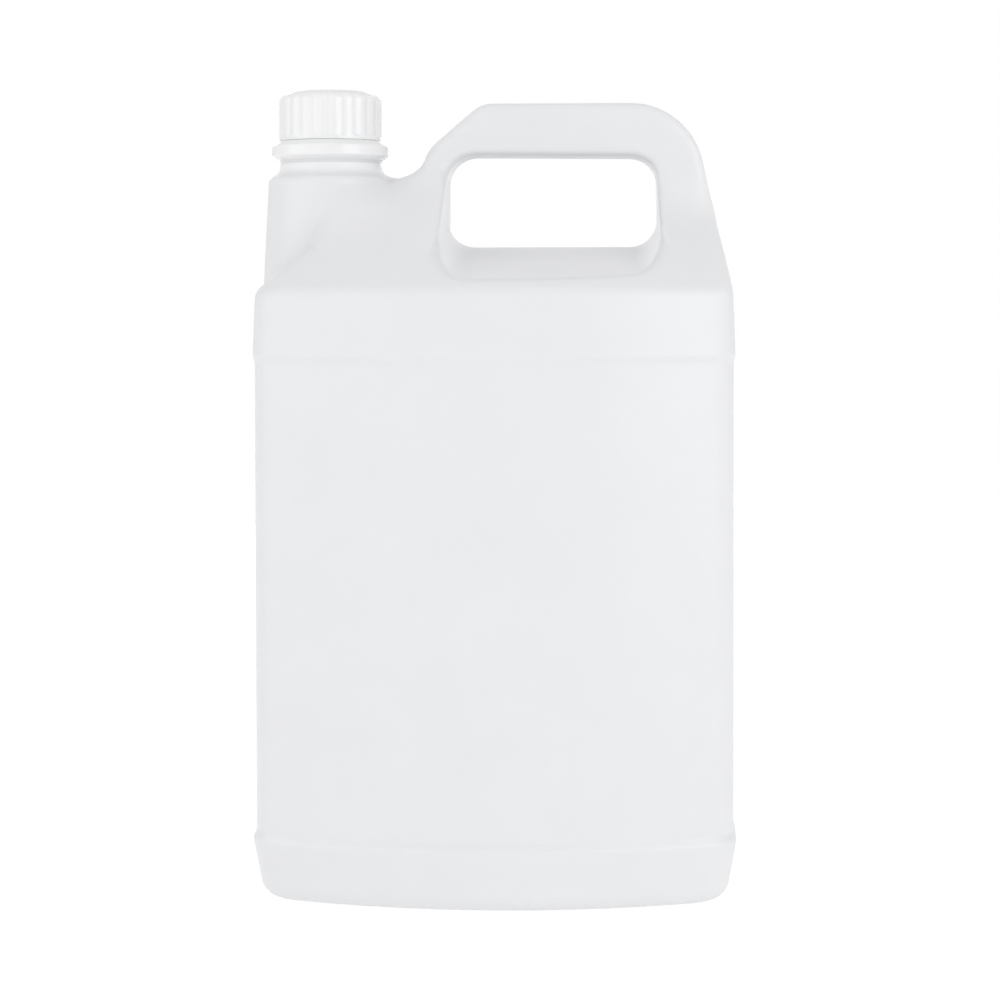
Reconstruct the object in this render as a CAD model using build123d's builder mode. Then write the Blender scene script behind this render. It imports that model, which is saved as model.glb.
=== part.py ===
from build123d import *
import os
from math import atan2, cos, pi, radians, sin, sqrt, tan

os.makedirs("parts", exist_ok=True)

# Frame: X to the right with the handle side at +X, -Y is the front, +Z up.
# The origin is on the floor, under the middle of the body. Millimetres.

# ---- driving dimensions ----
WALL = 1.2                 # blow-moulded wall

# body: a bowed, rounded rectangle seen from above
PANEL_HALF_W = 89.5        # half width of the main panel
PANEL_HALF_D = 66.4        # half depth at the middle of the front
BOW_R = 218.0              # plan radius of the front and the back
SIDE_BOW = 1.2             # bow of the two sides
CORNER_R = 13.0            # vertical corners
FOOT_Z, FOOT_GROW = 23.0, 1.3      # foot band: its top, and how proud it stands
FOOT_TAPER = 10.0          # degrees, towards the base
HEEL_R = 8.0
PUSH_UP = 3.0              # hollow of the base
BELT_Z, BAND_GROW = 202.0, 0.65    # upper band: its lower edge, and how proud it stands there
BAND_TOP_GROW = -0.2       # and at its top, since it leans in
RIM_Z, RIM_R = 226.0, 5.5  # where the walls turn into the shoulder

# shoulder: a hipped roof, steep on the handle side
RIDGE_LEFT = (-40.0, 269.6)        # X, Z of the ridge's two ends
RIDGE_RIGHT = (81.8, 260.6)
RIDGE_HALF_END, RIDGE_HALF_MID = 11.6, 18.6

# neck tower and neck
NECK_X = -64.2
TOWER_R_LOW, TOWER_R_TOP = 26.1, 23.9
TOWER_TOP_Z = 270.2
NECK_R = 19.3
NECK_STEP_Z = 272.0
BEAD_R, BEAD_Z = 20.8, 280.4       # bead that holds the tamper ring
BARREL_R = 16.7            # thread barrel
BORE_R = 15.0
NECK_TOP_Z = 299.9

# thread, right-handed, one start
PITCH = 4.0
THREAD_TURNS = 1.5
NECK_THREAD_R = 17.75
NECK_THREAD_Z = 289.0      # middle of the thread where it starts
CAP_THREAD_R = 17.05
CAP_THREAD_Z = NECK_THREAD_Z - PITCH / 2 + 0.3
THREAD_ROOT_W, THREAD_CREST_W = 2.0, 0.9

# handle
HANDLE_HALF_T = 13.0
HANDLE_TOP_Z = 297.5
HANDLE_EDGE_R = 5.0
HOLE_EDGE_R = 2.5
HOLE_TOP_Z, HOLE_FLOOR_Z = 277.5, 242.9
FLOOR_DROP = 16.0          # fall of the finger recess over RECESS_REACH
RECESS_REACH = 72.0

# cap
CAP_TOP_Z, CAP_LOW_Z = 302.7, 283.8
CAP_R, CAP_BORE_R = 19.8, 18.1
CAP_PLATE = 1.6
FLUTES, FLUTE_R = 22, 5.0
FLUTE_TURN = 2.6           # degrees that a groove lies off the front, towards +X
COLLAR_Z = 285.0
CAP_CORNER_R = 3.0
LINER_R, LINER_T = 17.7, 1.2

# tamper ring
RING_TOP_Z, RING_LOW_Z = 283.45, 276.2
RING_R = 22.7
BRIDGES = 12


def plan(half_w, half_d, corner, z):
    """The body's section at height z, as a sketch."""
    radius = BOW_R - PANEL_HALF_D + half_d
    side_x = half_w - SIDE_BOW
    side_y = half_d - (radius - sqrt(radius**2 - side_x**2))
    with BuildSketch(Plane.XY.offset(z)) as section:
        with BuildLine():
            ThreePointArc((-side_x, -side_y), (0, -half_d), (side_x, -side_y))
            ThreePointArc((side_x, -side_y), (half_w, 0), (side_x, side_y))
            ThreePointArc((side_x, side_y), (0, half_d), (-side_x, side_y))
            ThreePointArc((-side_x, side_y), (-half_w, 0), (-side_x, -side_y))
        make_face()
        fillet(section.vertices(), corner)
    return section.sketch


def grown(grow, z, corner=None):
    """The same section, grow larger all round than the panel."""
    return plan(
        PANEL_HALF_W + grow, PANEL_HALF_D + grow, corner or CORNER_R + grow, z
    )


def corner_near(section, x, z):
    return min(section.vertices(), key=lambda v: (v.X - x) ** 2 + (v.Y - z) ** 2)


def ridge_section(inset):
    """The top of the shoulder's loft, on a plane that falls towards the handle side."""
    run = RIDGE_RIGHT[0] - RIDGE_LEFT[0]
    fall = atan2(RIDGE_LEFT[1] - RIDGE_RIGHT[1], run)
    length = run / cos(fall)
    tilted = Plane(
        origin=(RIDGE_LEFT[0], 0, RIDGE_LEFT[1] - inset),
        x_dir=(cos(fall), 0, -sin(fall)),
        z_dir=(sin(fall), 0, cos(fall)),
    )
    side = 0.68 * inset
    y_end, y_mid = RIDGE_HALF_END - side, RIDGE_HALF_MID - side
    x_low, x_high = side, length - inset
    with BuildSketch(tilted) as section:
        with BuildLine():
            ThreePointArc((x_low, -y_end), (length / 2, -y_mid), (x_high, -y_end))
            ThreePointArc((x_high, -y_end), (x_high + 0.3, 0), (x_high, y_end))
            ThreePointArc((x_high, y_end), (length / 2, y_mid), (x_low, y_end))
            ThreePointArc((x_low, y_end), (x_low - 0.3, 0), (x_low, -y_end))
        make_face()
        fillet(section.vertices(), 4.0 - side)
    return section.sketch


def hole_section(y, inset):
    """The handle hole's outline at depth y. It widens a little and its floor falls away."""
    k = abs(y) / RECESS_REACH
    top, floor = HOLE_TOP_Z + inset, HOLE_FLOOR_Z - FLOOR_DROP * k - inset
    left_top, left_low = -17.6 - 1.8 * k - inset, -19.5 - 2.4 * k - inset
    right_top, right_low = 60.9 + 1.0 * k + inset, 61.9 + 1.2 * k + inset
    with BuildSketch(Plane.XZ.offset(-y)) as section:
        with BuildLine():
            Polyline(
                (left_low, floor),
                (right_low, floor),
                (right_top, top - 0.35),
                (left_top, top + 0.35),
                close=True,
            )
        make_face()
        fillet(corner_near(section, left_top, top), 10.8 + inset)
        fillet(corner_near(section, right_top, top), 8.3 + inset)
        fillet(corner_near(section, right_low, floor), 11.0 + inset)
        fillet(corner_near(section, left_low, floor), 11.0 + inset)
    return section.sketch


def handle_side(inset):
    """The handle seen from the front, without its hole."""
    with BuildSketch(Plane.XZ) as section:
        with BuildLine():
            Polyline(
                (-31.7, 266.0),
                (-25.25, 280.75),
                (-5.67, HANDLE_TOP_Z),
                (73.7, HANDLE_TOP_Z),
                (88.43, 230.0),
                (60.0, 215.0),
                (-20.0, 215.0),
                (-45.0, 240.0),
                close=True,
            )
        make_face()
        fillet(corner_near(section, -25.25, 280.75), 16.0)
        fillet(corner_near(section, -5.67, HANDLE_TOP_Z), 12.0)
        fillet(corner_near(section, 73.7, HANDLE_TOP_Z), 28.2)
        if inset:
            offset(amount=-inset)
    return section.sketch


def tower_profile(inset):
    """Tower, step and neck as a profile to turn, radius against height."""
    if inset:
        points = [
            (0, 190),
            (TOWER_R_LOW - inset, 190),
            (TOWER_R_LOW - inset, 226),
            (TOWER_R_TOP - inset, 268),
            (TOWER_R_TOP - inset, TOWER_TOP_Z - inset),
            (NECK_R - inset, NECK_STEP_Z - inset),
            (NECK_R - inset, BEAD_Z - 1.7),
            (BORE_R, BEAD_Z + 1.5),
            (BORE_R, NECK_TOP_Z + 5),
            (0, NECK_TOP_Z + 5),
        ]
    else:
        points = [
            (0, 190),
            (TOWER_R_LOW, 190),
            (TOWER_R_LOW, 226),
            (TOWER_R_TOP, 268),
            (TOWER_R_TOP, TOWER_TOP_Z - 1.4),
            (TOWER_R_TOP - 1.4, TOWER_TOP_Z + 0.2),
            (NECK_R, NECK_STEP_Z),
            (NECK_R, BEAD_Z - 1.0),
            (BEAD_R, BEAD_Z - 0.6),
            (BEAD_R, BEAD_Z + 0.2),
            (NECK_R, BEAD_Z + 1.4),
            (BARREL_R, BEAD_Z + 1.6),
            (BARREL_R, NECK_TOP_Z - 0.6),
            (BARREL_R - 0.6, NECK_TOP_Z),
            (0, NECK_TOP_Z),
        ]
    with BuildSketch(Plane.XZ) as section:
        with BuildLine():
            Polyline(*[(NECK_X + r, z) for r, z in points], close=True)
        make_face()
    return section.sketch


def vessel(inset):
    """The jug's outer form, or with an inset the space inside its wall."""
    wall_angle = 0.71 * inset  # where the inner walls meet the inner shoulder
    taper = tan(radians(FOOT_TAPER))
    base = FOOT_GROW - (FOOT_Z - inset) * taper
    with BuildPart() as form:
        # foot, tapering to the base, with a rounded heel
        loft(
            sections=[
                grown(base - inset, inset),
                grown(FOOT_GROW - inset * taper - inset, FOOT_Z - inset),
            ],
            ruled=True,
        )
        fillet(form.edges().group_by(Axis.Z)[0], HEEL_R - inset)
        # panel and upper band
        extrude(grown(-inset, FOOT_Z - 3), amount=BELT_Z + 3 - FOOT_Z + 3)
        loft(
            sections=[
                grown(BAND_GROW - inset, BELT_Z, corner=CORNER_R),
                grown(BAND_TOP_GROW - inset, RIM_Z - wall_angle, corner=CORNER_R),
            ],
            ruled=True,
        )
        # shoulder
        loft(
            sections=[
                grown(BAND_TOP_GROW - inset, RIM_Z - wall_angle, corner=CORNER_R),
                ridge_section(inset),
            ],
            ruled=True,
        )
        rim = [
            e
            for e in form.edges()
            if abs(e.center().Z - RIM_Z + wall_angle) < 0.05
            and e.bounding_box().size.Z < 0.05
        ]
        fillet(rim, RIM_R - inset)
        # hollow of the base
        loft(
            sections=[
                grown(base - 14.0 + inset, 0, corner=9.0),
                grown(base - 19.0 + inset, PUSH_UP + inset, corner=7.0),
            ],
            ruled=True,
            mode=Mode.SUBTRACT,
        )
        # neck tower
        revolve(tower_profile(inset), axis=Axis((NECK_X, 0, 0), (0, 0, 1)))
    with BuildPart() as grip:
        extrude(handle_side(inset), amount=HANDLE_HALF_T - inset, both=True)
        long_edges = [
            e
            for e in grip.edges()
            if abs(abs(e.center().Y) - HANDLE_HALF_T + inset) < 0.01
            and e.bounding_box().max.Z > 262
        ]
        fillet(long_edges, HANDLE_EDGE_R - inset)
    with BuildPart() as hole:
        for side in (RECESS_REACH, -RECESS_REACH):
            loft(
                sections=[hole_section(0, inset), hole_section(side, inset)],
                ruled=True,
            )
    with BuildPart() as whole:
        add(form.part)
        add(grip.part)
        add(hole.part, mode=Mode.SUBTRACT)
        if not inset:
            # soft edge round the hole, on the handle's two faces
            mouth = [
                e
                for e in whole.edges()
                if abs(abs(e.center().Y) - HANDLE_HALF_T) < 0.01
                and -19.3 < e.center().X < 60.6
                and 271.0 < e.center().Z < HOLE_TOP_Z + 0.6
            ]
            fillet(mouth, HOLE_EDGE_R)
    return whole.part


def thread(root_r, crest_r, z):
    """One thread, a trapezoid swept along a right-handed helix."""
    sink = 0.25 if crest_r > root_r else -0.25
    with BuildPart() as turns:
        with BuildLine() as path:
            Helix(
                pitch=PITCH,
                height=PITCH * THREAD_TURNS,
                radius=root_r,
                center=(NECK_X, 0, z),
            )
        start = path.wires()[0].position_at(0)
        with BuildSketch(
            Plane(origin=start, x_dir=(1, 0, 0), z_dir=path.wires()[0].tangent_at(0))
        ) as tooth:
            with BuildLine():
                Polyline(
                    (-sink, -THREAD_ROOT_W / 2),
                    (0, -THREAD_ROOT_W / 2),
                    (crest_r - root_r, -THREAD_CREST_W / 2),
                    (crest_r - root_r, THREAD_CREST_W / 2),
                    (0, THREAD_ROOT_W / 2),
                    (-sink, THREAD_ROOT_W / 2),
                    close=True,
                )
            make_face()
        sweep(tooth.sketch, path=path.wires()[0], is_frenet=True)
    return turns.part


outside = vessel(0.0)
inside = vessel(WALL)
neck_thread = thread(BARREL_R, NECK_THREAD_R, NECK_THREAD_Z)
cap_thread = thread(CAP_BORE_R, CAP_THREAD_R, CAP_THREAD_Z)

# ---- the blow-moulded bottle, one piece ----
with BuildPart() as jug_body:
    add(outside)
    add(neck_thread)
    add(inside, mode=Mode.SUBTRACT)
jug_body.part.label = "jug_body"
export_step(jug_body.part, "parts/jug_body.step")

# ---- the screw cap ----
with BuildPart() as screw_cap:
    # a scalloped skirt, rounded over at the top and plain at the bottom
    with BuildSketch(Plane.XY.offset(COLLAR_Z)):
        with Locations((NECK_X, 0)):
            Circle(16.5)
            with PolarLocations(
                CAP_R - FLUTE_R, FLUTES, start_angle=-90 + FLUTE_TURN + 180 / FLUTES
            ):
                Circle(FLUTE_R)
    extrude(amount=CAP_TOP_Z - COLLAR_Z)
    with BuildSketch(Plane.XZ):
        with BuildLine():
            Polyline(
                (NECK_X, CAP_LOW_Z - 1),
                (NECK_X + CAP_R, CAP_LOW_Z - 1),
                (NECK_X + CAP_R, CAP_TOP_Z - CAP_CORNER_R),
            )
            RadiusArc(
                (NECK_X + CAP_R, CAP_TOP_Z - CAP_CORNER_R),
                (NECK_X + CAP_R - CAP_CORNER_R, CAP_TOP_Z),
                -CAP_CORNER_R,
            )
            Polyline(
                (NECK_X + CAP_R - CAP_CORNER_R, CAP_TOP_Z),
                (NECK_X, CAP_TOP_Z),
                (NECK_X, CAP_LOW_Z - 1),
            )
        make_face()
    revolve(axis=Axis((NECK_X, 0, 0), (0, 0, 1)), mode=Mode.INTERSECT)
    with BuildSketch(Plane.XY.offset(CAP_LOW_Z)):
        with Locations((NECK_X, 0)):
            Circle(CAP_R)
    extrude(amount=COLLAR_Z - CAP_LOW_Z)
    with BuildSketch(Plane.XY.offset(CAP_LOW_Z)):
        with Locations((NECK_X, 0)):
            Circle(CAP_BORE_R)
    extrude(amount=CAP_TOP_Z - CAP_PLATE - CAP_LOW_Z, mode=Mode.SUBTRACT)
    add(cap_thread)
screw_cap.part.label = "screw_cap"
export_step(screw_cap.part, "parts/screw_cap.step")

# ---- the foam wad in the cap ----
with BuildPart() as cap_liner:
    with BuildSketch(Plane.XY.offset(NECK_TOP_Z)):
        with Locations((NECK_X, 0)):
            Circle(LINER_R)
    extrude(amount=LINER_T)
cap_liner.part.label = "cap_liner"
export_step(cap_liner.part, "parts/cap_liner.step")

# ---- the tamper ring ----
with BuildPart() as tamper_ring:
    with BuildSketch(Plane.XZ):
        with BuildLine():
            Polyline(
                *[
                    (NECK_X + r, z)
                    for r, z in (
                        (19.9, RING_TOP_Z),
                        (RING_R - 0.1, RING_TOP_Z - 1.8),
                        (RING_R, RING_LOW_Z + 1.9),
                        (RING_R - 0.3, RING_LOW_Z + 1.5),
                        (21.7, RING_LOW_Z + 0.9),
                        (20.2, RING_LOW_Z),
                        (19.8, RING_LOW_Z + 0.2),
                        (20.3, RING_LOW_Z + 2.5),
                        (20.3, RING_LOW_Z + 2.9),
                        (21.6, RING_LOW_Z + 3.2),
                        (21.6, RING_TOP_Z - 2.1),
                        (18.9, RING_TOP_Z - 0.1),
                        (18.9, RING_TOP_Z),
                    )
                ],
                close=True,
            )
        make_face()
    revolve(axis=Axis((NECK_X, 0, 0), (0, 0, 1)))
    # the stubs of the torn bridges
    with BuildSketch(Plane.XY.offset(RING_TOP_Z)):
        with Locations((NECK_X, 0)):
            with PolarLocations(19.4, BRIDGES, start_angle=7.5):
                Rectangle(0.7, 0.9)
    extrude(amount=CAP_LOW_Z - 0.05 - RING_TOP_Z)
tamper_ring.part.label = "tamper_ring"
export_step(tamper_ring.part, "parts/tamper_ring.step")

print("outside l", round(outside.volume / 1e6, 3), "inside l", round(inside.volume / 1e6, 3))
for piece in (jug_body, screw_cap, cap_liner, tamper_ring):
    print(piece.part.label, round(piece.part.volume), piece.part.is_valid)
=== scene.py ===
import math

import bpy
import numpy as np
from mathutils import Matrix, Vector


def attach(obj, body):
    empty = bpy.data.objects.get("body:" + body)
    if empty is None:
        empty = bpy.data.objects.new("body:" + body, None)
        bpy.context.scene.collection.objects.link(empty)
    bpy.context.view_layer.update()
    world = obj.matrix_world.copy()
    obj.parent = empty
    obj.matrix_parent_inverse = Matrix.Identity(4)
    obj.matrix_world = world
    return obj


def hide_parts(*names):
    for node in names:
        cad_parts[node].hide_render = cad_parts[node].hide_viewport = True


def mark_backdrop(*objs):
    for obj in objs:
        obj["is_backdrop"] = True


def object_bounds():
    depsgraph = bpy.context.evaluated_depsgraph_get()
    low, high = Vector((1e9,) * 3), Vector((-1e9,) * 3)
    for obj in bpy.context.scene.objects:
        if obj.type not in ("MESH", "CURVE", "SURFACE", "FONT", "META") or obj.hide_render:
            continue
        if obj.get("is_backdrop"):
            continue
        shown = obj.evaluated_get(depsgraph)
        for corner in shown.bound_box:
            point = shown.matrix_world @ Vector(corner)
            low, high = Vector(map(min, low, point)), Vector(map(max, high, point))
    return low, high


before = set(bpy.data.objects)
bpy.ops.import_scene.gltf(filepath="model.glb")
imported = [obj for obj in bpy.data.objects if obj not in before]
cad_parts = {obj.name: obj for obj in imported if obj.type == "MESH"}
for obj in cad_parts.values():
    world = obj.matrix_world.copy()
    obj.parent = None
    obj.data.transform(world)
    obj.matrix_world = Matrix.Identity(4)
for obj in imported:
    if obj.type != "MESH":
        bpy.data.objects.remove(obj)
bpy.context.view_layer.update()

MM = 0.001
NECK_X = -64.2


# ------------------------------------------------------------------ blends

def spread(cosine):
    """Blend width that gives a corner of radius 1, from the cosine between the two normals."""
    return (1 - cosine) / np.sqrt((1 + cosine) / 2)


def smax(a, b, k):
    h = np.maximum(k - np.abs(a - b), 0)
    return np.maximum(a, b) + h * h / (4 * k)


def smin(a, b, k):
    return -smax(-a, -b, k)


def smax_arc(a, b, radius, degrees):
    """The larger of two straight fields, with a true arc in the corner they make."""
    half = math.radians(degrees) / 2
    c, s = math.cos(half), math.sin(half)
    u = (a + b + 2 * radius) / (2 * c)
    v = (a - b) / (2 * s)
    arc = np.hypot(u, v) - radius
    return np.where((u > 0) & (np.abs(v) <= u * (s / c)), arc, np.maximum(a, b))


def smax_square(a, b, radius):
    """The same for two fields at right angles."""
    p, q = np.maximum(a + radius, 0), np.maximum(b + radius, 0)
    return np.minimum(np.maximum(a, b) + radius, 0) + np.hypot(p, q) - radius


def step(x):
    x = np.clip(x, 0, 1)
    return x * x * (3 - 2 * x)


def mix(a, b, t):
    return a + (b - a) * t


# ------------------------------------------------------------------ the bottle as a distance field, mm

def grow_at(z):
    """How far the wall stands out from the main panel at height z."""
    foot = 1.15 * (1 - step((z - 22.6) / 3.6))
    d = 22.4 - z
    taper = 0.1763 * 0.5 * (d + np.sqrt(d * d + 0.5))
    band = 0.65 * step((z - 199.2) / 3.4) - 0.035 * np.clip(z - 202.0, 0, 24)
    return foot - taper * (z < 45) + band


def bottle(x, y, z, seam=True):
    ay = np.abs(y)
    grow = grow_at(z)
    front = np.hypot(x, ay + 151.6) - 218.0
    left = np.hypot(859.9 - x, y) - 949.4
    right = np.hypot(859.9 + x, y) - 949.4

    # walls, each with its own slope above the rim
    up = z - 226.0
    front_roof = (front + 0.19 + up * 1.165) / 1.535
    left_roof = (left + 0.19 + up * 1.131) / 1.510
    front_side = smax(front - grow, front_roof, 2.2)
    left_side = smax(left - grow, left_roof, 2.2)
    lean = 0.5 * (up + np.sqrt(up * up + 1.5))
    right_side = (right - grow + 0.218 * lean) / (1 + 0.0235 * step(up / 6 + 0.5))
    rise = step((z - 221) / 10)
    hip = mix(mix(8.4, 5.4, rise), 2.6, np.clip(up / 45, 0, 1))
    hull = smax(front_side, left_side, hip)
    end = mix(8.4, 5.2, rise) + (2.6 - 5.2) * np.clip((z - 234) / 26, 0, 1)
    hull = smax(hull, right_side, end)
    ridge = (z - 269.6 + (x + 40.0) * 0.0739) / 1.0027
    hull = smax(hull, ridge, 2.0)

    # handle, a bent hollow bar seen from the front, with rounded long edges
    lower = (x + 25.25) * -0.9162 + (z - 280.75) * 0.4006
    slope = (x + 5.67) * -0.6500 + (z - 297.5) * 0.7599
    top = z - 297.5
    outline = smax_arc(lower, slope, 16.0, 25.9)
    outline = smax_arc(outline, top, 12.0, 40.55)
    outline = smax_arc(outline, right_side, 28.2, 77.7)
    bar = smax_square(outline, ay - 13.0, 3.8)
    bar = np.maximum(bar, 236.0 - z)
    fade = 1 - step((x - 74) / 11)
    legs = 7.0 * step((x - 58) / 8) + 6.0 * step((-14 - x) / 8) * step((ay - 6) / 6)
    whole = smin(hull, bar, 0.4 + (2.9 + legs) * fade)

    # neck tower, with its step and the foot of the neck
    r = np.hypot(x - NECK_X, y) + 1e-9
    tower = r - 26.1 + (2.2 / 42) * np.maximum(up, 0)
    cone = (r - 19.3) * 0.53 + (z - 272.0) * 0.848
    tower = smax(tower, cone, 1.3)
    neck = np.maximum(r - 19.3, z - 279.0)
    tower = smin(tower, neck, 2.2)
    tower = np.maximum(tower, 223.0 - z)
    facing = step((ay / r - 0.35) / 0.5)
    crisp = step((-(x - NECK_X) / r + 0.25) / 0.70)
    wide = 15.0 * (1 - step((z - 258) / 16)) + 4.0
    soft = mix(3.0, wide, facing) * (1 - crisp) + 0.5 * crisp
    whole = smin(whole, tower, soft)

    # the hole under the handle, which opens into a falling finger recess
    k = (np.sqrt(y * y + 9.0) - 3.0) / 72.0
    floor = 242.9 - 16.0 * k
    share = (z - floor) / (277.5 - floor)
    hole_left = (mix(-19.5 - 2.4 * k, -18.1 - 1.8 * k, share) - x)
    hole_right = (x - mix(61.9 + 1.2 * k, 60.9 + 1.0 * k, share))
    hole_top = z - 277.5 + 0.0089 * (x - 21.6)
    hole_floor = (floor - z) / 1.024
    hole = np.maximum(
        np.maximum(smax_square(hole_left, hole_top, 10.8), smax_square(hole_top, hole_right, 9.8)),
        np.maximum(smax_square(hole_right, hole_floor, 11.0), smax_square(hole_floor, hole_left, 11.0)),
    )
    # softer where the floor runs out over the shoulder
    a, b = np.maximum(hole_floor + 11, 0), np.maximum(np.maximum(hole_left, hole_right) + 11, 0)
    upright = a / (np.hypot(a, b) + 1e-6)
    meet = np.clip(0.88 * upright, 0, 0.9) * step((ay - 15) / 12)
    side = 1 - step(upright / 0.35)
    top_edge = step((hole_top + 11) / 6)
    radius = mix(mix(2.6, 9.0, step((ay - 20) / 30)), mix(1.0, 2.4, step((ay - 30) / 16)), side * (1 - top_edge))
    whole = smax(whole, -hole, np.maximum(radius * spread(meet), 0.8))

    # base: heel and the hollow inside the standing rim
    whole = np.where(z < 24, smax_arc(whole, -z, 8.0, 80.0), whole)
    inner = smax(front, np.maximum(left, right), 6.0) + 17.1 + z * 1.667
    hollow = smax(inner / 1.94, z - 3.0, 0.9)
    if seam:
        hollow = hollow + 0.45 * np.exp(-((y / 0.75) ** 2)) * step((66 - np.abs(x)) / 3)
    whole = np.where(z < 12, smax(whole, -hollow, 0.9), whole)
    if seam:  # the mould's parting line
        whole = whole - 0.13 * np.exp(-((y / 0.42) ** 2)) * step((z - 3) / 2)
    return whole


# ------------------------------------------------------------------ meshing

def gradient(field, p, e=0.02):
    g = np.empty_like(p)
    for i in range(3):
        d = np.zeros(3)
        d[i] = e
        g[:, i] = field(*(p + d).T) - field(*(p - d).T)
    return g / (2 * e)


def project(field, p, level, rounds):
    for _ in range(rounds):
        f = field(*p.T) - level
        g = gradient(field, p)
        move = (f / np.maximum((g * g).sum(1), 0.15))[:, None] * g
        size = np.linalg.norm(move, axis=1, keepdims=True)
        p = p - move * np.minimum(1, 1.2 / np.maximum(size, 1e-9))
    return p


def skin(field, xs, ys, zs, level=0.0, rounds=3):
    """One vertex in each grid cell that the surface crosses, and a quad across each crossed edge."""
    n = (len(xs), len(ys), len(zs))
    values = np.empty(n)
    for i in range(0, n[0], 12):
        values[i:i + 12] = field(*np.meshgrid(xs[i:i + 12], ys, zs, indexing="ij")) - level
    inside = values < 0
    count = np.zeros((n[0] - 1, n[1] - 1, n[2] - 1), np.int8)
    for a in (0, 1):
        for b in (0, 1):
            for c in (0, 1):
                count += inside[a:n[0] - 1 + a, b:n[1] - 1 + b, c:n[2] - 1 + c]
    cell = np.argwhere((count > 0) & (count < 8))
    index = np.full(count.shape, -1, np.int64)
    index[tuple(cell.T)] = np.arange(len(cell))
    axes = (xs, ys, zs)
    total, hits = np.zeros((len(cell), 3)), np.zeros(len(cell))
    for axis in range(3):
        u, v = [i for i in range(3) if i != axis]
        for a in (0, 1):
            for b in (0, 1):
                low = cell.copy()
                low[:, u] += a
                low[:, v] += b
                high = low.copy()
                high[:, axis] += 1
                f0, f1 = values[tuple(low.T)], values[tuple(high.T)]
                cross = (f0 < 0) != (f1 < 0)
                t = np.where(cross, f0 / np.where(cross, f0 - f1, 1), 0)
                point = np.stack([axes[i][low[:, i]] for i in range(3)], 1)
                point[:, axis] += t * (axes[axis][high[:, axis]] - axes[axis][low[:, axis]])
                total[cross] += point[cross]
                hits[cross] += 1
    p = total / hits[:, None]
    quads = []
    for axis in range(3):
        u, v = ((1, 2), (2, 0), (0, 1))[axis]
        span = [slice(1, n[i] - 1) for i in range(3)]
        span[axis] = slice(0, n[axis] - 1)
        lower = inside[tuple(span)]
        span[axis] = slice(1, n[axis])
        upper = inside[tuple(span)]
        at = np.argwhere(lower != upper)
        out = lower[tuple(at.T)]
        at = at + 1
        at[:, axis] -= 1
        corner = []
        for du, dv in ((-1, -1), (0, -1), (0, 0), (-1, 0)):
            c = at.copy()
            c[:, u] += du
            c[:, v] += dv
            corner.append(index[tuple(c.T)])
        q = np.stack(corner, 1)
        quads.append(np.where(out[:, None], q, q[:, ::-1]))
    quads = np.concatenate(quads)
    # even out the quads, then put the vertices back on the surface
    ends = np.concatenate([quads[:, [i, (i + 1) % 4]] for i in range(4)])
    weight = np.bincount(ends[:, 0], minlength=len(p)) + np.bincount(ends[:, 1], minlength=len(p))
    p = project(field, p, level, 2)
    for _ in range(rounds):
        near = np.stack([
            np.bincount(ends[:, 0], p[ends[:, 1], i], len(p)) + np.bincount(ends[:, 1], p[ends[:, 0], i], len(p))
            for i in range(3)
        ], 1) / weight[:, None]
        p = project(field, p + 0.5 * (near - p), level, 1)
    return project(field, p, level, 2), quads, cell


def cut_neck(p, quads, cell, zs, height, radius):
    """Opens the surface at the neck, and gives the loop left there in order of angle."""
    r = np.hypot(p[:, 0] - NECK_X, p[:, 1])
    gone = (zs[cell[:, 2]] > height - 0.01) & (r < 24)
    quads = quads[~gone[quads].any(1)]
    ends = np.concatenate([quads[:, [i, (i + 1) % 4]] for i in range(4)])
    key = np.sort(ends, 1)
    key = key[:, 0] * len(p) + key[:, 1]
    _, first, times = np.unique(key, return_index=True, return_counts=True)
    edge = ends[first[times == 1]]
    loop = np.unique(edge)
    angle = np.arctan2(p[loop, 1], p[loop, 0] - NECK_X)
    loop = loop[np.argsort(angle)]
    angle = np.sort(angle)
    p[loop] = np.stack([NECK_X + radius * np.cos(angle), radius * np.sin(angle), np.full(len(loop), height)], 1)
    used = np.zeros(len(p), bool)
    used[quads] = True
    place = np.cumsum(used) - 1
    return p[used], place[quads], place[loop], angle


def zip_rings(low, low_angle, high, high_angle):
    """Triangles between two rings of vertices, both in order of angle, facing outwards with low below."""
    faces, i, j, m, n = [], 0, 0, len(low), len(high)
    while i < m or j < n:
        a = low_angle[i % m] + 2 * math.pi * (i // m) if i < m else math.inf
        b = high_angle[j % n] + 2 * math.pi * (j // n) if j < n else math.inf
        next_a = low_angle[(i + 1) % m] + 2 * math.pi * ((i + 1) // m) if i < m else math.inf
        next_b = high_angle[(j + 1) % n] + 2 * math.pi * ((j + 1) // n) if j < n else math.inf
        if next_a <= next_b:
            faces.append((low[i % m], low[(i + 1) % m], high[j % n]))
            i += 1
        else:
            faces.append((low[i % m], high[(j + 1) % n], high[j % n]))
            j += 1
    return faces


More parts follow.
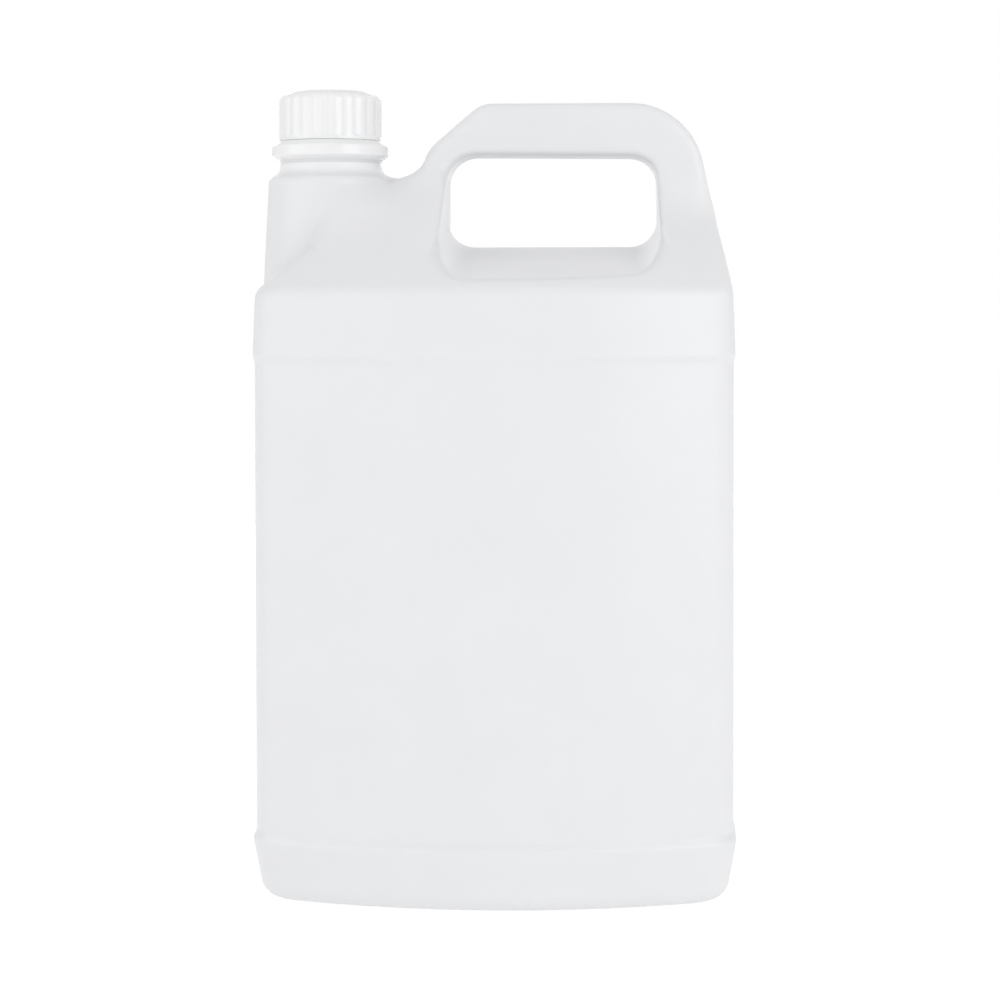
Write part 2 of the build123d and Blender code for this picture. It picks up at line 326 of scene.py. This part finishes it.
def rounded(points, radii, segments=4):
    """A polyline with its corners rounded, as an array of radius and height."""
    out = [points[0]]
    for i in range(1, len(points) - 1):
        a, b, c = (np.array(points[j], float) for j in (i - 1, i, i + 1))
        u, v = (a - b) / np.linalg.norm(a - b), (c - b) / np.linalg.norm(c - b)
        r = radii[i] if hasattr(radii, "__len__") else radii
        turn = math.acos(np.clip(-(u @ v), -1, 1))
        reach = min(r * math.tan(turn / 2), 0.48 * np.linalg.norm(a - b), 0.48 * np.linalg.norm(c - b))
        if reach < 1e-4 or turn < 1e-3:
            out.append(tuple(b))
            continue
        r = reach / math.tan(turn / 2)
        centre = b + (u + v) / np.linalg.norm(u + v) * (r / math.cos(turn / 2))
        start, end = b + u * reach - centre, b + v * reach - centre
        for s in range(segments + 1):
            t = s / segments
            w = (math.sin((1 - t) * turn) * start + math.sin(t * turn) * end) / math.sin(turn)
            out.append(tuple(centre + w))
    out.append(points[-1])
    return np.array(out, float)


def spaced(profile, longest):
    """The same polyline with its long runs divided."""
    out = [profile[0]]
    for a, b in zip(profile[:-1], profile[1:]):
        parts = max(1, int(math.ceil(np.linalg.norm(b - a) / longest)))
        out += [a + (b - a) * (i + 1) / parts for i in range(parts)]
    return np.array(out)


def turned(profile, columns, shift=None, start=0.0, closed=False):
    """A surface of revolution about the neck's axis. shift(angle, r, z) gives what to add to the radius.
    Walking along the profile with the material on the left gives outward faces."""
    angle = start + np.arange(columns) * 2 * math.pi / columns
    r = np.repeat(profile[:, 0][:, None], columns, 1)
    z = np.repeat(profile[:, 1][:, None], columns, 1)
    a = np.repeat(angle[None], len(profile), 0)
    if shift is not None:
        r = r + shift(a, r, z)
    p = np.stack([NECK_X + r * np.cos(a), r * np.sin(a), z], 2).reshape(-1, 3)
    rows = len(profile)
    i, j = np.meshgrid(np.arange(rows if closed else rows - 1), np.arange(columns), indexing="ij")
    up = (i + 1) % rows
    q = np.stack([i * columns + j, i * columns + (j + 1) % columns, up * columns + (j + 1) % columns, up * columns + j], 2)
    return p, q.reshape(-1, 4), angle


def make_mesh(name, p, faces, normals=None, sharp=None):
    """p in mm. faces is a list of arrays of vertex numbers, one array for each number of corners."""
    faces = [np.asarray(f, np.int64) for f in faces if len(f)]
    loops = np.concatenate([f.ravel() for f in faces])
    sizes = np.concatenate([np.full(len(f), f.shape[1]) for f in faces])
    mesh = bpy.data.meshes.new(name)
    mesh.vertices.add(len(p))
    mesh.vertices.foreach_set("co", (p * MM).astype(np.float32).ravel())
    mesh.loops.add(len(loops))
    mesh.loops.foreach_set("vertex_index", loops.astype(np.int32))
    mesh.polygons.add(len(sizes))
    mesh.polygons.foreach_set("loop_start", np.concatenate([[0], np.cumsum(sizes)[:-1]]).astype(np.int32))
    mesh.polygons.foreach_set("use_smooth", np.ones(len(sizes), bool))
    mesh.update(calc_edges=True)
    mesh.validate()
    if sharp is not None:
        mesh.set_sharp_from_angle(angle=math.radians(sharp))
    if normals is not None:
        mesh.normals_split_custom_set_from_vertices(normals.astype(np.float32))
    piece = bpy.data.objects.new(name, mesh)
    bpy.context.scene.collection.objects.link(piece)
    return piece


def levels(*runs):
    """Grid levels from (start, end, spacing) runs."""
    out = []
    for low, high, gap in runs:
        parts = max(1, round((high - low) / gap))
        out += [low + (high - low) * i / parts for i in range(parts)]
    return np.array(out + [runs[-1][1]])


# ------------------------------------------------------------------ the threads

THREAD_TURNS = 1.5


def thread_height(angle, z, first, height):
    """Height of a right-handed thread of 4 mm pitch above its root, at an angle and a height."""
    out = np.zeros_like(z)
    for turn in range(3):
        t = (angle % (2 * math.pi)) / (2 * math.pi) + turn
        middle = first + 4.0 * t
        flank = np.clip((1.0 - np.abs(z - middle)) / 0.55, 0, 1)
        ends = step(t / 0.06) * step((THREAD_TURNS - t) / 0.06)
        out = np.maximum(out, height * step(flank) * ends)
    return out


# ------------------------------------------------------------------ jug body

def jug_body():
    xs = levels((-92.0, 92.0, 1.6))
    ys = np.array(sorted(set(np.round(np.concatenate([levels((-69.0, -1.5, 1.6)), [-0.7, -0.3, 0.0, 0.3, 0.7], levels((1.5, 69.0, 1.6))]), 4))))
    zs = levels(
        (-1.2, -0.3, 0.9), (-0.3, 0.4, 0.7), (0.4, 4.0, 0.9), (4.0, 10.0, 1.2), (10, 20, 2.5), (20, 28.4, 0.84), (28.4, 196, 5.6),
        (196, 205, 0.9), (205, 218, 3.2), (218, 232, 1.2), (232, 274.2, 1.5), (274.2, 275.7, 1.5), (275.7, 301.2, 1.5),
    )
    p, quads, cell = skin(bottle, xs, ys, zs)
    p, quads, loop, angle = cut_neck(p, quads, cell, zs, 275.0, 19.3)
    normals = gradient(bottle, p)
    normals /= np.linalg.norm(normals, axis=1, keepdims=True)

    def plain(x, y, z):
        return bottle(x, y, z, seam=False)

    xs = levels((-92.0, 92.0, 3.1))
    ys = levels((-69.0, 69.0, 3.1))
    zi = levels((-1.0, 10.0, 1.8), (10, 28, 3.0), (28, 196, 8.0), (196, 218, 3.4), (218, 273.0, 2.9), (273.0, 276.0, 3.0), (276.0, 301.2, 2.9))
    q, inner_quads, inner_cell = skin(plain, xs, ys, zi, level=-1.2, rounds=2)
    q, inner_quads, inner_loop, inner_angle = cut_neck(q, inner_quads, inner_cell, zi, 275.0, 18.1)
    inner_normals = -gradient(plain, q)
    inner_normals /= np.linalg.norm(inner_normals, axis=1, keepdims=True)

    # the neck: up the outside over the bead, the thread and the lip, and down the bore
    profile = rounded(
        [(19.3, 275.0), (19.3, 279.4), (20.8, 279.8), (20.8, 280.6), (19.3, 281.8), (16.7, 282.0), (16.7, 299.9),
         (15.0, 299.9), (15.0, 281.9), (18.1, 278.7), (18.1, 275.0)],
        [0, 0.5, 0.3, 0.4, 0.35, 0.6, 0.55, 0.45, 0.8, 0.8, 0], 3,
    )
    barrel = [(16.7, z) for z in np.arange(283.5, 299.0, 0.36)]
    at = max(i for i, (r, z) in enumerate(profile) if abs(r - 16.7) < 0.01 and z < 290)
    profile = np.concatenate([profile[:at + 1], barrel, profile[at + 1:]])

    def thread(a, r, z):
        on = (np.abs(r - 16.7) < 0.01) & (z > 283.4) & (z < 299.1)
        return np.where(on, thread_height(a, z, 289.0, 1.05), 0)

    neck, neck_quads, neck_angle = turned(profile, 160, thread, start=-math.pi + 0.001)
    base, inner_base = len(p), len(p) + len(neck)
    low = zip_rings(loop, angle, base + np.arange(160), neck_angle)
    last = base + (len(profile) - 1) * 160 + np.arange(160)
    top = zip_rings(last, neck_angle, inner_base + inner_loop, inner_angle)
    points = np.concatenate([p, neck, q])
    # zeros leave the neck's own normals as they are
    all_normals = np.concatenate([normals, np.zeros_like(neck), inner_normals])
    piece = make_mesh(
        "bottle", points,
        [np.concatenate([quads, neck_quads + base, inner_quads[:, ::-1] + inner_base]), np.array(low + top)],
        all_normals, sharp=50,
    )
    return piece


# ------------------------------------------------------------------ cap, ring and liner

LOBES, LOBE_R, CAP_R = 22, 5.4, 19.8
CAP_LOW, CAP_TOP = 283.8, 302.7
LOBE_TURN = math.radians(-90 + 2.6)   # a groove faces the front


def lobe_radius(angle):
    pitch = 2 * math.pi / LOBES
    f = (angle - LOBE_TURN) % pitch - pitch / 2

    def circle(t):
        d = CAP_R - LOBE_R
        return d * np.cos(t) + np.sqrt(np.maximum(LOBE_R ** 2 - (d * np.sin(t)) ** 2, 0.01))

    return smax(circle(np.abs(f)), circle(pitch - np.abs(f)), 0.10)


def screw_cap():
    # the side, rounded into a crown that rises a little to the flat top
    corner = 300.6
    outer = rounded(
        [(18.6, CAP_LOW), (CAP_R - 0.01, CAP_LOW), (CAP_R, corner), (15.2, CAP_TOP - 0.02), (12.0, CAP_TOP)], [0, 0.18, 2.6, 3.0, 0], 12,
    )
    side = [(CAP_R, z) for z in (284.5, 284.8, 285.05, 285.3, 285.55, 285.8, 286.1, 286.5, 287.1, 288.2, 290.5, 293.0, 295.5, 297.8)]
    at = max(i for i, (r, z) in enumerate(outer) if z < 284.4)
    outer = np.concatenate([outer[:at + 1], side, outer[at + 1:]])
    # flat top with the small dimple of the moulding gate
    hub_rows = [(8, 0), (4, 0), (2, 0), (1.5, 0), (1.2, 0.08), (0.7, 0.15), (0.05, 0.17)]
    outer = np.concatenate([outer, [(r, CAP_TOP - d) for r, d in hub_rows]])

    def lobes(a, r, z):
        depth = CAP_R - lobe_radius(a)
        # grooves run out over the plain collar, and over the rounded edge of the top
        low = step((z - 284.7) / 1.5) ** 0.8
        high = 1 - step((z - 300.2) / 1.9)
        return np.where(r > 15.3, -(depth + 0.02) * low * high, 0)

    inner = rounded([(0.05, 301.1), (18.1, 301.1), (18.1, CAP_LOW + 0.3), (18.45, CAP_LOW), (18.6, CAP_LOW)], [0, 1.0, 0.1, 0, 0], 5)
    rows = [(18.1, z) for z in np.arange(299.4, 285.3, -0.4)]
    at = max(i for i, (r, z) in enumerate(inner) if z > 299.7)
    inner = np.concatenate([inner[:at + 1], rows, inner[at + 1:]])

    def thread(a, r, z):
        on = (np.abs(r - 18.1) < 0.01) & (z > 285.2) & (z < 299.6)
        return np.where(on, -thread_height(a, z, 287.3, 1.05), 0)

    columns = LOBES * 14
    p, q, angle = turned(outer, columns, lobes, start=LOBE_TURN)
    s, t, _ = turned(inner[:-1], columns, thread, start=LOBE_TURN)
    base = len(p)
    last = base + (len(inner) - 2) * columns
    j = np.arange(columns)
    joint = np.stack([last + j, last + (j + 1) % columns, (j + 1) % columns, j], 1)
    points = np.concatenate([p, s, [[NECK_X, 0, CAP_TOP - 0.17], [NECK_X, 0, 301.1]]])
    top = (len(outer) - 1) * columns
    hub = len(points) - 2
    caps = np.concatenate([
        np.stack([top + j, top + (j + 1) % columns, np.full(columns, hub)], 1),
        np.stack([base + (j + 1) % columns, base + j, np.full(columns, hub + 1)], 1),
    ])
    return make_mesh("cap", points, [np.concatenate([q, t + base, joint]), caps], sharp=38)


def tamper_ring():
    # down over the outside: cone, wall, and the lip that is folded in under the wall
    profile = rounded(
        [(18.9, 283.45), (18.9, 283.35), (21.6, 281.3), (21.6, 279.4), (20.3, 279.1), (20.3, 278.7), (19.85, 276.5), (20.1, 276.25),
         (21.75, 277.15), (22.35, 277.7), (22.7, 278.0), (22.62, 281.65), (20.0, 283.70), (18.9, 283.70), (18.9, 283.45)],
        [0, 0.1, 0.4, 0.3, 0.25, 0.2, 0.1, 0.1, 0.5, 0.12, 0.25, 0.7, 0.2, 0.05, 0], 4,
    )[1:]
    p, q, _ = turned(spaced(profile, 1.2)[:-1], 224, closed=True)
    faces = [q]
    points = [p]
    count = len(p)
    # stubs of the bridges to the cap, each a small block with its top corners taken off
    for i in range(12):
        a = math.radians(7.5 + 30 * i)
        u, v = np.array([math.cos(a), math.sin(a)]), np.array([-math.sin(a), math.cos(a)])
        ring = []
        for z, k in ((283.4, 1.0), (283.72, 0.92), (283.77, 0.62)):
            for du, dv in ((-0.33, -0.43), (0.33, -0.43), (0.33, 0.43), (-0.33, 0.43)):
                w = (19.4 + du * k) * u + dv * k * v
                ring.append((NECK_X + w[0], w[1], z))
        points.append(np.array(ring))
        box = [(3, 2, 1, 0), (8, 9, 10, 11)]
        for low in (0, 4):
            box += [(low + j, low + (j + 1) % 4, low + 4 + (j + 1) % 4, low + 4 + j) for j in range(4)]
        faces.append(np.array(box) + count)
        count += 12
    return make_mesh("ring", np.concatenate(points), [np.concatenate(faces)], sharp=38)


def cap_liner():
    profile = rounded([(0.05, 299.92), (17.68, 299.92), (17.68, 301.08), (0.05, 301.08)], [0, 0.15, 0.98, 0], 5)
    profile = spaced(profile, 3.0)

    p, q, _ = turned(profile, 120)
    # the lip of the neck presses a faint ring into the foam
    r = np.hypot(p[:, 0] - NECK_X, p[:, 1])
    p[:, 2] += np.where(p[:, 2] < 300.5, 0.05 * np.exp(-(((r - 15.9) / 0.7) ** 2)), 0)
    j = np.arange(120)
    points = np.concatenate([p, [[NECK_X, 0, 299.92], [NECK_X, 0, 301.08]]])
    top = (len(profile) - 1) * 120
    caps = np.concatenate([
        np.stack([(j + 1) % 120, j, np.full(120, len(points) - 2)], 1),
        np.stack([top + j, top + (j + 1) % 120, np.full(120, len(points) - 1)], 1),
    ])
    return make_mesh("liner", points, [q, caps], sharp=40)


# ------------------------------------------------------------------ materials

def plastic(name, colour, tint, rough, subsurface, grain, wave, painted_light_above=None):
    """Moulded plastic: a faint cloudiness in its colour and gloss, fine grain, and the slow waves of a blown wall.
    Above a given height, at the neck only, the base colour is painted lighter: painted light for the light that comes
    through the plastic into the shade under the ring."""
    m = bpy.data.materials.new(name)
    m.use_nodes = True
    nodes, links = m.node_tree.nodes, m.node_tree.links
    shader = nodes["Principled BSDF"]
    where = nodes.new("ShaderNodeTexCoord")

    def noise(scale, detail, roughness=0.5):
        n = nodes.new("ShaderNodeTexNoise")
        n.inputs["Scale"].default_value = scale
        n.inputs["Detail"].default_value = detail
        n.inputs["Roughness"].default_value = roughness
        links.new(where.outputs["Object"], n.inputs["Vector"])
        return n

    cloud = noise(38.0, 3.0, 0.6)
    ramp = nodes.new("ShaderNodeValToRGB")
    ramp.color_ramp.elements[0].position, ramp.color_ramp.elements[1].position = 0.32, 0.68
    ramp.color_ramp.elements[0].color = (*tint, 1)
    ramp.color_ramp.elements[1].color = (*colour, 1)
    links.new(cloud.outputs["Fac"], ramp.inputs["Fac"])
    if painted_light_above is None:
        links.new(ramp.outputs["Color"], shader.inputs["Base Color"])
    else:
        # the neck only, painted lighter as painted light in the shade under the ring: the handle is as high but stands
        # further along X
        split = nodes.new("ShaderNodeSeparateXYZ")
        links.new(where.outputs["Object"], split.inputs["Vector"])
        height = nodes.new("ShaderNodeMapRange")
        height.inputs["From Min"].default_value = painted_light_above
        height.inputs["From Max"].default_value = painted_light_above + 0.003
        links.new(split.outputs["Z"], height.inputs["Value"])
        along = nodes.new("ShaderNodeMapRange")
        along.inputs["From Min"].default_value = -0.034
        along.inputs["From Max"].default_value = -0.040
        links.new(split.outputs["X"], along.inputs["Value"])
        both = nodes.new("ShaderNodeMath")
        both.operation = "MULTIPLY"
        links.new(height.outputs["Result"], both.inputs[0])
        links.new(along.outputs["Result"], both.inputs[1])
        painted_light_mix = nodes.new("ShaderNodeMix")
        painted_light_mix.data_type = "RGBA"
        links.new(both.outputs[0], painted_light_mix.inputs[0])
        links.new(ramp.outputs["Color"], painted_light_mix.inputs[6])
        # painted light: the lighter colour the neck takes above the height
        painted_light_mix.inputs[7].default_value = (0.800, 0.803, 0.812, 1)
        links.new(painted_light_mix.outputs[2], shader.inputs["Base Color"])

    fine = noise(1500.0, 4.0, 0.6)
    spread_rough = nodes.new("ShaderNodeMapRange")
    spread_rough.inputs["To Min"].default_value = rough - 0.05
    spread_rough.inputs["To Max"].default_value = rough + 0.06
    links.new(fine.outputs["Fac"], spread_rough.inputs["Value"])
    links.new(spread_rough.outputs["Result"], shader.inputs["Roughness"])

    slow = noise(16.0, 2.0, 0.4)
    first = nodes.new("ShaderNodeBump")
    first.inputs["Strength"].default_value = wave
    first.inputs["Distance"].default_value = 0.002
    links.new(slow.outputs["Fac"], first.inputs["Height"])
    second = nodes.new("ShaderNodeBump")
    second.inputs["Strength"].default_value = grain
    second.inputs["Distance"].default_value = 0.0002
    links.new(fine.outputs["Fac"], second.inputs["Height"])
    links.new(first.outputs["Normal"], second.inputs["Normal"])
    links.new(second.outputs["Normal"], shader.inputs["Normal"])

    shader.inputs["IOR"].default_value = 1.5
    shader.inputs["Specular IOR Level"].default_value = 0.5
    shader.inputs["Subsurface Weight"].default_value = subsurface
    shader.inputs["Subsurface Radius"].default_value = (1.0, 0.95, 0.9)
    shader.inputs["Subsurface Scale"].default_value = 0.003
    return m


# the neck's base colour is painted lighter above 269.5 mm, painted light in the shade under the ring
natural = plastic("natural_plastic", (0.715, 0.718, 0.729), (0.704, 0.707, 0.718), 0.42, 0.15, 0.10, 0.10, painted_light_above=0.2695)
white = plastic("white_plastic", (0.782, 0.783, 0.790), (0.772, 0.773, 0.780), 0.22, 0.15, 0.06, 0.03)
foam = plastic("liner_foam", (0.80, 0.80, 0.79), (0.77, 0.77, 0.76), 0.8, 0.0, 0.5, 0.0)

for piece, node, body, slot, look in (
    (jug_body(), "jug_body", "jug", "natural_plastic", natural),
    (screw_cap(), "screw_cap", "cap", "white_plastic", white),
    (tamper_ring(), "tamper_ring", "jug", "white_plastic", white),
    (cap_liner(), "cap_liner", "cap_lifter", "liner_foam", foam),
):
    piece.data.materials.append(look)
    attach(piece, body)
    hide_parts(node)

# ------------------------------------------------------------------ camera

scene = bpy.context.scene
camera_data = bpy.data.cameras.new("camera")
camera = bpy.data.objects.new("camera", camera_data)
scene.collection.objects.link(camera)
camera_data.sensor_width = 36.0
camera_data.lens = 88.36
camera_data.shift_y = -0.1121
camera_data.clip_end = 60
camera.matrix_world = (
    Matrix.Translation((0.0370, -0.946, 0.2204))
    @ Matrix.Rotation(math.radians(2.183), 4, "Z")
    @ Matrix.Rotation(math.radians(90 - 1.907), 4, "X")
    @ Matrix.Rotation(math.radians(-0.105), 4, "Z")
)
scene.camera = camera

# ------------------------------------------------------------------ stage and light

scene.view_settings.view_transform = "Standard"
scene.view_settings.look = "None"
scene.view_settings.exposure = 0.0
scene.view_settings.gamma = 1.0

# the studio: soft light from all round, more of it from above, and softboxes
world = bpy.data.worlds.new("studio")
scene.world = world
world.use_nodes = True
nodes, links = world.node_tree.nodes, world.node_tree.links
background = nodes["Background"]
where = nodes.new("ShaderNodeTexCoord")
split = nodes.new("ShaderNodeSeparateXYZ")
links.new(where.outputs["Generated"], split.inputs["Vector"])
total = None
for axis, low, high, strength in (
    ("Z", 0.0, 1.0, 0.68), ("Y", 0.0, 1.0, 0.30), ("Y", 0.0, -1.0, 0.22), ("X", 0.0, 1.0, 0.18), ("X", 0.0, -1.0, 0.40),
):
    n = nodes.new("ShaderNodeMapRange")
    n.inputs["From Min"].default_value = low
    n.inputs["From Max"].default_value = high
    n.inputs["To Min"].default_value = 0.13 if total is None else 0.0
    n.inputs["To Max"].default_value = strength + (0.13 if total is None else 0.0)
    links.new(split.outputs[axis], n.inputs["Value"])
    if total is None:
        total = n.outputs["Result"]
    else:
        both = nodes.new("ShaderNodeMath")
        both.operation = "ADD"
        links.new(total, both.inputs[0])
        links.new(n.outputs["Result"], both.inputs[1])
        total = both.outputs[0]
links.new(total, background.inputs["Strength"])
background.inputs["Color"].default_value = (1, 1, 1, 1)


def glow(name, strength):
    m = bpy.data.materials.new(name)
    m.use_nodes = True
    nodes, links = m.node_tree.nodes, m.node_tree.links
    nodes.clear()
    out = nodes.new("ShaderNodeOutputMaterial")
    light = nodes.new("ShaderNodeEmission")
    light.inputs["Strength"].default_value = strength
    links.new(light.outputs[0], out.inputs["Surface"])
    return m


# a plain white floor, which glows so far that only a faint contact shadow is left on it
bpy.ops.mesh.primitive_circle_add(vertices=96, radius=9.0, fill_type="NGON", location=(0, 0, 0))
floor = bpy.context.object
floor.name = "floor"
m = bpy.data.materials.new("floor")
m.use_nodes = True
nodes, links = m.node_tree.nodes, m.node_tree.links
shader = nodes["Principled BSDF"]
shader.inputs["Base Color"].default_value = (0.12, 0.12, 0.12, 1)
shader.inputs["Roughness"].default_value = 0.9
shader.inputs["Specular IOR Level"].default_value = 0.0
shader.inputs["Emission Color"].default_value = (1, 1, 1, 1)
shader.inputs["Emission Strength"].default_value = 0.92
floor.data.materials.append(m)

# a white studio round it all, which the camera sees and the light passes
bpy.ops.mesh.primitive_uv_sphere_add(segments=48, ring_count=24, radius=14.0, location=(0, 0, 0))
dome = bpy.context.object
dome.name = "dome"
dome.data.materials.append(glow("dome", 1.0))
dome.visible_diffuse = dome.visible_glossy = dome.visible_transmission = False
dome.visible_shadow = dome.visible_volume_scatter = False
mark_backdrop(floor, dome)


def softbox(name, azimuth, elevation, distance, size, power):
    """A square lamp that faces the jug. Azimuth 0 is at the camera's side, and 90 to the right."""
    a, e = math.radians(azimuth), math.radians(elevation)
    aim = Vector((0, 0, 0.17))
    data = bpy.data.lights.new(name, "AREA")
    data.shape = "RECTANGLE"
    data.size = data.size_y = size
    data.energy = power
    lamp = bpy.data.objects.new(name, data)
    scene.collection.objects.link(lamp)
    lamp.location = aim + distance * Vector((math.sin(a) * math.cos(e), -math.cos(a) * math.cos(e), math.sin(e)))
    lamp.rotation_euler = (aim - lamp.location).to_track_quat("-Z", "Y").to_euler()
    return lamp


softbox("key", 45, 12, 1.8, 1.2, 10.8)
softbox("key_side", 80, 8, 1.8, 1.2, 2.0)
softbox("fill", -65, 12, 1.8, 1.2, 6.6)
softbox("fill_front", -25, 5, 2.0, 1.2, 2.9)
softbox("back", 180, 6, 1.5, 1.2, 5.6)

# ------------------------------------------------------------------ sizes

low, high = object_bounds()
